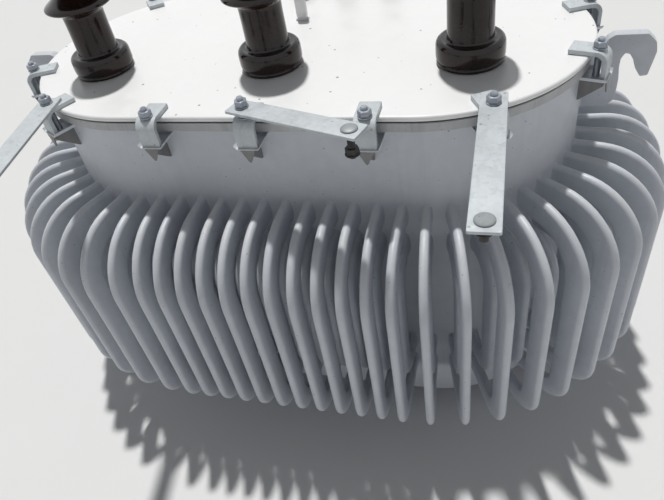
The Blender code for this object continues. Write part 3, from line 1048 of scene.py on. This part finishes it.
@dataclass
class Hardware:
    """Nuts, washers and threaded studs of one thread size, all given by radius."""

    radius: float = 0.0065  # of the thread
    corner: float = 0.0122  # of the nut
    height: float = 0.0113  # of the nut
    washer: float = 0.0128
    gauge: float = 0.0025  # thickness of the washer
    thread: float = 0.0020  # distance between threads

    def stud(self, low: float, high: float) -> Body:
        """A threaded rod: its radius follows a triangle wave of the height, with a chamfered end.

        Args:
            low: height of the lower end.
            high: height of the upper end.

        Returns:
            The closed rod.
        """
        steps = max(6, int((high - low) / self.thread * 2))
        height = np.linspace(low, high - 0.001, steps)
        radius = np.where(np.arange(steps) % 2 == 0, self.radius, self.radius - 0.0008)
        profile = np.column_stack([radius, height])
        cap = np.array([(self.radius - 0.0012, high)])
        return turned(np.concatenate([profile, cap]), 20)

    def nut(self, low: float, spin: float) -> Body:
        """A hexagon nut with both faces chamfered, on its washer.

        Near each face the corner radius is cut back to a circle, which is the chamfer.

        Args:
            low: height of the washer's underside.
            spin: turn of the hexagon.

        Returns:
            The washer and the nut.
        """
        half_turn = np.radians([0, 12, 30, 48, 60, 72, 90, 108, 120, 132, 150, 168])
        local = np.concatenate([half_turn, half_turn + np.pi])
        ways = np.stack([np.cos(spin + local), np.sin(spin + local)], -1)
        flat = self.corner * np.cos(np.pi / 6)
        hexagon = flat / np.cos(np.mod(local, np.pi / 3) - np.pi / 6)
        base = low + self.gauge
        top = self.height
        cuts = [(flat * 0.95, 0.0), (flat * 0.98, 0.0002), (self.corner, 0.0014)]
        cuts += [(self.corner, top - 0.0014), (flat * 0.98, top - 0.0002), (flat * 0.90, top)]
        rings = [level(np.minimum(hexagon, limit)[:, None] * ways, base + rise) for limit, rise in cuts]
        edge = self.washer
        disc = [(edge - 0.0004, low), (edge, low + 0.0006), (edge, base - 0.0004), (edge - 0.0006, base)]
        return Body.joined([turned(np.array(disc), 32), loft(np.array(rings))])


@dataclass
class RimClamp:
    """A J-shaped bar that holds the lid down, with its stud and nuts."""

    label: str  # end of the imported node's name
    mark: float  # where it stands, as a distance round the wall
    lift: float = 0.0  # how far a strap raises the upper nut
    raised: bool = False  # True where a seat nut lies under the strap
    width: float = 0.040
    thick: float = 0.009
    inner: float = -0.022
    outer: float = 0.048
    bend: float = 0.0220  # outer radius
    drop: float = 0.044
    ease: float = 0.0008  # chamfer of the bar's ends
    stud_out: float = 0.028
    nut_stack: float = 0.0138  # a nut on its washer
    stud_top: float = 0.0055  # what stands above the nut

    def bar(self) -> Body:
        """The bent bar: a rounded rectangle carried along a level run, a quarter bend and an upright leg.

        Returns:
            The closed bar, X outwards.
        """
        half, side = self.thick / 2, self.width / 2
        middle = self.bend - half
        height = UP.lid_top + FIT + half
        foot = UP.lid_top - self.drop
        t = quarter(9)
        run = [self.inner, self.inner + self.ease, 0.01]
        leg = [self.outer - half] * 2
        x = np.concatenate([run, self.outer - self.bend + middle * np.sin(t), leg])
        z = np.concatenate([[height] * 3, height - middle + middle * np.cos(t), [foot + self.ease, foot]])
        section = rounded(np.array([(-half, -side), (half, -side), (half, side), (-half, side)]), 0.0014, 4)
        swell = np.zeros(len(x))
        swell[[0, -1]] = -self.ease
        return swept(np.column_stack([x, np.zeros_like(x), z]), SIDEWAYS, section, swell)

    def build(self) -> None:
        """Makes and dresses the clamp's pieces."""
        stand = PLAN.stand(self.mark)
        node = ("clamp_" + self.label,)
        piece(f"clamp_bar_{self.label}", self.bar().moved(stand), GALVANISED, node)
        parts = Hardware()
        face = UP.lid_top + FIT + self.thick
        seat = face + self.lift
        spin = 0.4 + 1.7 * self.mark  # each nut has its own turn
        stud = parts.stud(UP.lid_top - self.drop, seat + self.nut_stack + self.stud_top)
        bodies = [stud, parts.nut(seat, spin)]
        if self.raised:
            bodies.append(parts.nut(face, spin + 0.5))
        at = stand @ Matrix.Translation((self.stud_out, 0, 0))
        piece(f"clamp_nut_{self.label}", Body.joined(bodies).moved(at), FASTENER, node)


@dataclass
class MountingStrap:
    """A flat bar held at one end by a clamp's nut, with a carriage bolt near its free end."""

    label: str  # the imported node's name
    mark: float  # its clamp, as a distance round the wall
    heading: float  # direction of the bar, in degrees
    length: float
    overhang: float  # what lies past the clamp's stud
    raised: bool  # True where it lies on the clamp's seat nut
    slack: float = 0.0  # how far the bolt's nut hangs below the bar
    drop: float = 0.027  # length of the bolt below the bar, slack not counted
    width: float = 0.045
    thick: float = 0.0055
    end: float = 0.0225  # from the free end to the bolt
    head: float = 0.0145  # radius of the bolt's head
    dome: float = 0.0050  # its height
    cut: float = 0.002  # of the bar's corners

    def low(self) -> float:
        """Height of the bar's underside."""
        return UP.lid_top + 2 * FIT + RimClamp.thick + (RimClamp.nut_stack if self.raised else 0.0)

    def bar(self) -> Body:
        """The flat bar with cut corners and eased edges, X along it.

        Returns:
            The closed bar.
        """
        long = np.linspace(-self.overhang, self.length - self.overhang, 9)
        x = np.concatenate([long[:1], long[:1] + self.cut, long[1:8], long[8:] - self.cut, long[8:]])
        y = np.full(len(x), -self.width / 2)
        y[[0, -1]] += self.cut
        side = np.column_stack([x, y])
        outline = np.concatenate([side, side[::-1] * [1, -1]])
        return plate(outline, self.low(), self.low() + self.thick, ease=0.0011)

    def bolt_head(self) -> Body:
        """The bolt's low domed head: radius r cos t and height h sin t over a short skirt.

        Returns:
            The closed head.
        """
        top = self.low() + self.thick + FIT
        skirt = 0.0012
        t = np.linspace(0, np.pi / 2 * 0.94, 9)
        edge = np.array([(self.head - 0.0006, top), (self.head, top + 0.0008)])
        dome = np.column_stack([self.head * np.cos(t), top + skirt + (self.dome - skirt) * np.sin(t)])
        return turned(np.concatenate([edge, dome]), 48)

    def build(self) -> None:
        """Makes and dresses the bar and its bolt."""
        point = PLAN.at(np.array([self.mark]), RimClamp.stud_out, True)[0]
        at = Matrix.Translation((*point[0], 0.0)) @ Matrix.Rotation(np.radians(self.heading), 4, "Z")
        piece(self.label + "_bar", self.bar().moved(at), GALVANISED, (self.label,))
        spot = at @ Matrix.Translation((self.length - self.overhang - self.end, 0, 0))
        node = (self.label + "_bolt",)
        piece(self.label + "_bolt_head", self.bolt_head().moved(spot), BOLT_ZINC, node)
        parts = Hardware()
        under = self.low() - FIT
        shank = parts.stud(under - self.drop - self.slack, under + 0.002)
        nut = parts.nut(under - RimClamp.nut_stack - self.slack, 0.35)
        # the nut and shank take the near-black painted shade
        piece(self.label + "_bolt_nut", Body.joined([shank, nut]).moved(spot), NUT_IN_PAINTED_SHADE, node)


@dataclass
class Bushing:
    """A porcelain that stands on the lid, with a brass terminal on top."""

    label: str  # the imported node's name
    x: float
    y: float
    height: float
    sides: int

    def corners(self) -> list[tuple[float, float]]:
        """(radius, height) pairs up the porcelain; each kind of bushing has its own."""
        raise NotImplementedError

    def terminal(self) -> Body:
        """The terminal's pieces; each kind of bushing has its own."""
        raise NotImplementedError

    def build(self) -> None:
        """Makes and dresses the porcelain and its terminal."""
        base = UP.lid_top + FIT
        at = Matrix.Translation((self.x, self.y, base))
        porcelain = turned(softened(np.array(self.corners())), self.sides)
        piece(self.label + "_porcelain", porcelain.moved(at), GLAZE, (self.label,), sharp=60.0)
        top = Matrix.Translation((self.x, self.y, base + self.height + FIT))
        piece(self.label + "_cap", self.terminal().moved(top), BRASS, (self.label + "_terminal",))


@dataclass
class TallBushing(Bushing):
    """A high-voltage bushing: a grooved foot and a stem with three sheds."""

    y: float = -0.114
    height: float = 0.345
    sides: int = 72

    def corners(self) -> list[tuple[float, float]]:
        """(radius, height) pairs up the foot, the stem and the sheds."""
        return [
            (0.0610, 0.0000), (0.0628, 0.0015), (0.0628, 0.0060), (0.0606, 0.0074), (0.0606, 0.0088),
            (0.0632, 0.0104), (0.0640, 0.0130), (0.0640, 0.0320), (0.0628, 0.0395), (0.0590, 0.0440),
            (0.0550, 0.0455), (0.0490, 0.0445), (0.0440, 0.0450), (0.0430, 0.0500), (0.0425, 0.0620),
            (0.0420, 0.1240), (0.0445, 0.1330), (0.0665, 0.1420), (0.0705, 0.1460), (0.0695, 0.1515),
            (0.0520, 0.1620), (0.0400, 0.1720), (0.0385, 0.1800), (0.0410, 0.1870), (0.0655, 0.1940),
            (0.0690, 0.1970), (0.0680, 0.2025), (0.0490, 0.2150), (0.0380, 0.2280), (0.0362, 0.2400),
            (0.0390, 0.2470), (0.0605, 0.2545), (0.0640, 0.2570), (0.0630, 0.2625), (0.0460, 0.2740),
            (0.0342, 0.2880), (0.0325, 0.3100), (0.0312, 0.3420), (0.0298, self.height),
        ]

    def terminal(self) -> Body:
        """The brass cap, the threaded stud and two nuts.

        Returns:
            The pieces as one body.
        """
        rod = Hardware(radius=0.0075, corner=0.0128, height=0.0085, washer=0.0124)
        cap = np.array([(0.0228, 0.0), (0.0240, 0.0012), (0.0240, 0.01), (0.0225, 0.0118), (0.0110, 0.0128)])
        nuts = [rod.nut(0.0125, 0.2), rod.nut(0.0238, 0.6)]
        return Body.joined([turned(cap, 40), rod.stud(0.011, 0.060), *nuts])


@dataclass
class ShortBushing(Bushing):
    """A low-voltage bushing with one shed."""

    y: float = 0.260
    height: float = 0.085
    sides: int = 48

    def corners(self) -> list[tuple[float, float]]:
        """(radius, height) pairs up the foot, the shed and the neck."""
        return [
            (0.0280, 0.0), (0.0290, 0.0012), (0.0290, 0.0150), (0.0210, 0.0230), (0.0200, 0.0380),
            (0.0215, 0.0430), (0.0285, 0.0510), (0.0290, 0.0540), (0.0270, 0.0580), (0.0185, 0.0680),
            (0.0170, 0.0800), (0.0155, self.height),
        ]

    def terminal(self) -> Body:
        """The brass cap, the threaded stud and a nut.

        Returns:
            The pieces as one body.
        """
        rod = Hardware(radius=0.006, corner=0.0108, height=0.008, washer=0.0105)
        cap = np.array([(0.0142, 0.0), (0.0150, 0.001), (0.0150, 0.0085), (0.0138, 0.0100)])
        return Body.joined([turned(cap, 32), rod.stud(0.0095, 0.045), rod.nut(0.010, 0.3)])


@dataclass
class LiftingLug:
    """A hook-shaped plate welded to one end of the tank."""

    label: str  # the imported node's name
    side: int  # 1 for the right end, -1 for the left
    thick: float = 0.022

    def outline(self) -> np.ndarray:
        """The hook as (out from the wall, height) pairs, anticlockwise, its corners softened.

        Returns:
            The outline.
        """
        drops = np.array(
            [
                (0.0000, 0.1600), (0.0500, 0.1600), (0.0640, 0.1460), (0.0660, 0.1180), (0.0660, 0.1000),
                (0.0632, 0.0765), (0.0632, 0.0585), (0.0695, 0.0470), (0.0780, 0.0485), (0.0880, 0.0640),
                (0.0915, 0.0772), (0.1030, 0.0955), (0.1165, 0.0935), (0.1215, 0.0650), (0.1245, 0.0450),
                (0.1205, 0.0260), (0.1045, 0.0095), (0.0475, 0.0095), (0.0365, 0.0165), (0.0217, 0.0346),
                (0.0000, 0.0346),
            ]
        )
        face = PLAN.straight_half + PLAN.radius + FIT
        return rounded(np.column_stack([face + drops[:, 0], UP.lid_top - drops[:, 1]]), 0.003, 4)

    def bead(self, hand: int) -> Body:
        """A weld up the wall beside the plate: a small circle carried upwards, its size rippling.

        Args:
            hand: the face of the plate that it lies along, 1 or -1.

        Returns:
            The closed bead.
        """
        steps = 60
        height = np.linspace(UP.lid_top - 0.158, UP.lid_top - 0.037, steps)[:, None]
        size = (0.0042 + 0.0004 * np.sin(np.arange(steps) * 1.9))[:, None]
        a = np.linspace(0, 2 * np.pi, 10, endpoint=False)
        x = PLAN.straight_half + PLAN.radius - 0.0006 + size * np.cos(a)
        y = hand * (self.thick / 2 + 0.0004) + size * np.sin(a)
        return loft(np.stack([x, y, np.broadcast_to(height, x.shape)], -1))

    def build(self) -> None:
        """Makes and dresses the plate and its weld."""
        turn = Matrix.Rotation(0.0 if self.side > 0 else np.pi, 4, "Z")
        body = plate(self.outline(), -self.thick / 2, self.thick / 2, ease=0.0010)
        piece(self.label + "_plate", body.moved(turn @ UPRIGHT), TANK_PAINT, (self.label,))
        weld = Body.joined([self.bead(-1), self.bead(1)]).moved(turn)
        piece(self.label + "_weld", weld, TANK_PAINT, (self.label,), sharp=80.0)


@dataclass
class LidFittings:
    """The lifting bar on the lid, the filler cap and the drain valve."""

    bar_x: float = -0.0158
    bar_y: float = 0.110
    bar_width: float = 0.024
    bar_height: float = 0.085
    bar_thick: float = 0.011
    bar_hole: float = 0.007  # radius
    ease: float = 0.006  # cut of the bar's upper corners
    filler: tuple[float, float] = (0.360, 0.215)
    drain_height: float = 0.105

    def bar(self) -> Body:
        """The upright bar with its hole.

        For each angle about the hole the outline's distance is the least of the four sides and the cut
        corners; rings go from the hole's edge out to the outline on one face and back on the other.

        Returns:
            The closed bar in the XZ plane.
        """
        count = 120
        a = 2 * np.pi * np.arange(count) / count
        c, s = np.cos(a), np.sin(a)
        half = self.bar_width / 2
        middle = self.bar_height - self.bar_width * 0.8
        rise = self.bar_height - middle
        cut = (half + rise - self.ease) / np.sqrt(2)
        sides = ((half, np.abs(c)), (rise, s), (middle, -s), (cut, (np.abs(c) + s) / np.sqrt(2)))
        limit = np.min([far / np.maximum(way, 1e-6) for far, way in sides], axis=0)
        e, h = 0.0009, self.bar_thick / 2
        hole = np.full(count, self.bar_hole)
        steps = [(hole + e, h), (limit - e, h), (limit, h - e), (limit, e - h)]
        steps += [(limit - e, -h), (hole + e, -h), (hole, e - h), (hole, h - e)]
        rings = np.array([np.column_stack([r * c, np.full(count, y), middle + r * s]) for r, y in steps])
        rows = np.arange(len(steps)) * count
        quads = bands(rows, np.roll(rows, -1), count)
        return Body(rings.reshape(-1, 3), quads, np.zeros((0, 3), int)).outward()

    def foot_weld(self) -> Body:
        """A bead round the bar's foot: a quarter circle carried round a soft rectangle, its size rippling.

        Returns:
            The closed bead.
        """
        count = 96
        a = 2 * np.pi * np.arange(count) / count
        c, s = np.cos(a), np.sin(a)
        x = (self.bar_width / 2 + 0.001) * np.sign(c) * np.abs(c) ** 0.4
        y = (self.bar_thick / 2 + 0.001) * np.sign(s) * np.abs(s) ** 0.4
        size = 0.0030 + 0.0005 * np.sin(a * 22)
        rings = []
        for b in quarter(4):
            out = size * np.cos(b)
            rings.append(np.column_stack([x + out * c, y + out * s, size * np.sin(b)]))
        rings.append(level(np.column_stack([x, y]) * 0.6, 0.0025))
        return loft(np.array(rings))

    def build(self) -> None:
        """Makes and dresses the three fittings."""
        base = UP.lid_top + FIT
        at = Matrix.Translation((self.bar_x, self.bar_y, base))
        piece("lifting_bar_plate", self.bar().moved(at), LID_PAINT, ("lid_lifting_bar",))
        piece("lifting_bar_weld", self.foot_weld().moved(at), LID_PAINT, ("lid_lifting_bar",), sharp=80.0)
        filler = [
            (0.0250, 0.0), (0.0260, 0.001), (0.0260, 0.0090), (0.0250, 0.0102), (0.0190, 0.0108),
            (0.0190, 0.0320), (0.0285, 0.0326), (0.0300, 0.0340), (0.0300, 0.0480), (0.0285, 0.0510),
            (0.0240, 0.0555), (0.0120, 0.0560),
        ]
        spot = Matrix.Translation((*self.filler, base))
        piece("filler_cap_body", turned(np.array(filler), 56).moved(spot), LID_PAINT, ("filler_cap",))
        drain = [
            (0.0230, 0.0), (0.0240, 0.001), (0.0240, 0.0072), (0.0230, 0.0082), (0.0130, 0.0090),
            (0.0130, 0.0262), (0.0190, 0.0268), (0.0200, 0.0280), (0.0200, 0.0510), (0.0190, 0.0522),
            (0.0160, 0.0526), (0.0160, 0.0650), (0.0150, 0.0660),
        ]
        spot = Matrix.Translation((0.0, PLAN.radius + FIT, self.drain_height))
        back = spot @ Matrix.Rotation(-np.pi / 2, 4, "X")
        piece("drain_valve_body", turned(np.array(drain), 48).moved(back), BRASS, ("drain_valve",))


@dataclass
class BaseFrame:
    """Two skid channels and the cross-channel under the tank."""

    length: float = 0.920
    inside: float = 0.130
    width: float = 0.060
    cross: float = 0.080
    height: float = 0.052
    web: float = 0.006

    def channel(self, run: float, width: float) -> Body:
        """A channel along X that lies on its open side: two flanges under a top web, with soft corners.

        Args:
            run: its length.
            width: its width.

        Returns:
            The closed channel with its middle at the origin.
        """
        half, w, top = width / 2, self.web, self.height
        outline = [(-half, 0), (-half + w, 0), (-half + w * 1.3, top - w), (half - w * 1.3, top - w)]
        outline += [(half - w, 0), (half, 0), (half, top), (-half, top)]
        end, ease = run / 2, 0.0008
        stops = [(-end, 0.0006), (-end + ease, 0.0), (end - ease, 0.0), (end, 0.0006)]
        return drawn(rounded(np.array(outline), 0.003, 4), stops)

    def build(self) -> None:
        """Makes and dresses the three channels."""
        middle = self.inside + self.width / 2
        for name, side in (("skid_front", -1), ("skid_back", 1)):
            at = Matrix.Translation((0, side * middle, 0))
            piece(name + "_channel", self.channel(self.length, self.width).moved(at), TANK_PAINT, (name,))
        turn = Matrix.Rotation(np.pi / 2, 4, "Z")
        cross = self.channel(2 * (self.inside - FIT), self.cross).moved(turn)
        piece("base_cross_channel", cross, TANK_PAINT, ("base_cross",))


@dataclass
class Studio:
    """The pale floor, the light and the camera at the photograph's angle."""

    eye: tuple[float, float, float] = (0.44829, -1.19369, 1.39245)
    yaw: float = -0.36878
    pitch: float = 0.73546
    roll: float = -0.19376
    focal: float = 597.90  # in pixels
    across: int = 664  # the picture's width in pixels
    sensor: float = 36.0

    def camera(self) -> None:
        """Sets the camera from its place and its three angles."""
        cy, sy, cp, sp = np.cos(self.yaw), np.sin(self.yaw), np.cos(self.pitch), np.sin(self.pitch)
        cr, sr = np.cos(self.roll), np.sin(self.roll)
        forward = np.array([sy * cp, cy * cp, -sp])
        right = np.array([cy, -sy, 0.0])
        up = np.cross(right, forward)
        lens = bpy.data.cameras.new("camera")
        lens.sensor_width = self.sensor
        lens.sensor_fit = "HORIZONTAL"
        lens.lens = self.focal / self.across * self.sensor
        lens.clip_start = 0.01
        place = np.eye(4)
        place[:3] = np.column_stack([cr * right + sr * up, -sr * right + cr * up, -forward, self.eye])
        eye = added("camera", lens)
        eye.matrix_world = Matrix(place.tolist())
        bpy.context.scene.camera = eye

    def floor(self) -> None:
        """A wide pale floor that keeps the object's shadow."""
        size, count = 30.0, 21
        line = np.linspace(-size, size, count)
        x, y = np.meshgrid(line, line)
        points = np.stack([x, y, np.full_like(x, -0.0006)], -1).reshape(-1, 3)
        corner = np.arange(count - 1)[:, None] * count + np.arange(count - 1)
        quads = np.stack([corner, corner + 1, corner + count + 1, corner + count], -1).reshape(-1, 4)
        mesh = bpy.data.meshes.new("floor")
        mesh.from_pydata(points.tolist(), [], quads.tolist())
        made = bpy.data.materials.new("pale_floor")
        made.use_nodes = True
        coat = Coat(made)
        noise = coat.noise(coat.place, 3.0, 4.0)
        tone = coat.blend(noise.outputs["Fac"], (0.735, 0.74, 0.745, 1.0), (0.765, 0.77, 0.775, 1.0))
        coat.link(tone, coat.shader.inputs["Base Color"])
        coat.shader.inputs["Roughness"].default_value = 0.9
        mesh.materials.append(made)
        thing = added("floor", mesh)

    def lights(self) -> None:
        """A key light from above and a little behind on the left, and an even world."""
        key = bpy.data.lights.new("key", "SUN")
        key.energy = 2.7
        key.angle = np.radians(2.5)
        key.color = (1.0, 0.985, 0.96)
        added("key", key).rotation_euler = (np.radians(-15.0), np.radians(-6.0), 0.0)
        world = bpy.data.worlds.new("studio")
        world.use_nodes = True
        board = NodeBoard(world.node_tree)
        path = board.add("LightPath")
        seen = board.maths("MAXIMUM", path.outputs["Is Camera Ray"], path.outputs["Is Transmission Ray"])
        seen = board.maths("MAXIMUM", seen, path.outputs["Is Glossy Ray"])
        strength = board.add("MapRange", in_Value=seen, in_To_Min=0.20, in_To_Max=1.0)
        back = world.node_tree.nodes["Background"]
        board.link(strength.outputs[0], back.inputs["Strength"])
        back.inputs["Color"].default_value = (0.96, 0.98, 1.0, 1.0)
        bpy.context.scene.world = world

    def build(self) -> None:
        """Sets up the studio."""
        self.camera()
        self.floor()
        self.lights()
        bpy.context.scene.view_settings.view_transform = "Standard"


def straps() -> list[MountingStrap]:
    """The three mounting straps; the middle one lies on a seat nut, and its bolt hangs lower.

    Returns:
        The straps from left to right.
    """
    return [
        MountingStrap("strap_left", PLAN.end(-1, -61.0), -80.4, 0.3515, 0.022, False),
        MountingStrap("strap_middle", 0.0, -18.5, 0.267, 0.0228, True, slack=0.028, drop=0.019),
        MountingStrap("strap_right", PLAN.end(1, -65.0), -89.6, 0.3515, 0.035, False),
    ]


def clamps() -> list[RimClamp]:
    """The twelve rim clamps, those that hold a strap last.

    Returns:
        The clamps with their marks and lifts.
    """
    spots = {
        "front_1": PLAN.straight(-0.69, True),
        "front_2": PLAN.straight(0.763, True),
        "right_1": PLAN.end(1, -18.0),
        "right_2": PLAN.end(1, 20.0),
        "back_1": PLAN.end(1, 54.0),
        "back_2": PLAN.straight(0.0, False),
        "back_3": PLAN.end(-1, 54.0),
        "left_1": PLAN.end(-1, 20.0),
        "left_2": PLAN.end(-1, -22.7),
    }
    made = [RimClamp(label, mark) for label, mark in spots.items()]
    for strap in straps():
        lift = strap.thick + 2 * FIT + (RimClamp.nut_stack if strap.raised else 0.0)
        made.append(RimClamp(strap.label, strap.mark, lift, strap.raised))
    return made


def banks(marks: list[float]) -> list[CoolingBank]:
    """The four stretches of wall, each with the ledges that fall on it.

    Args:
        marks: the clamps' distances round the wall.

    Returns:
        The banks in order round the tank.
    """
    pitch = PLAN.length / 64
    start = 0.0246 - 6.5 * pitch
    made = []
    for side, count in (("front", 13), ("right", 19), ("back", 13), ("left", 19)):
        span = count * pitch
        own = [m for m in marks if (m - start) % PLAN.length < span]
        made.append(CoolingBank(side, start, count, pitch, own))
        start += span
    return made


class Assembly(Protocol):
    """A sub-assembly that makes its own pieces."""

    def build(self) -> None:
        """Makes and dresses the pieces."""


def main() -> None:
    """Builds every sub-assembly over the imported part."""
    logging.basicConfig(level=logging.INFO, format="%(message)s")
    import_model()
    Studio().build()
    rim = clamps()
    parts: list[Assembly] = [BaseFrame(), TankTop(), LidFittings()]
    parts += banks([clamp.mark for clamp in rim]) + rim + straps()
    for i, name in enumerate(("left", "middle", "right")):
        parts.append(TallBushing("hv_bushing_" + name, -0.0183 + (i - 1) * 0.3957))
    parts += [ShortBushing(f"lv_bushing_{i + 1}", (i - 1.5) * 0.110) for i in range(4)]
    parts += [LiftingLug("lifting_lug_right", 1), LiftingLug("lifting_lug_left", -1)]
    for part in parts:
        part.build()
        LOG.info("built %s", type(part).__name__)


if __name__ == "__main__":
    main()
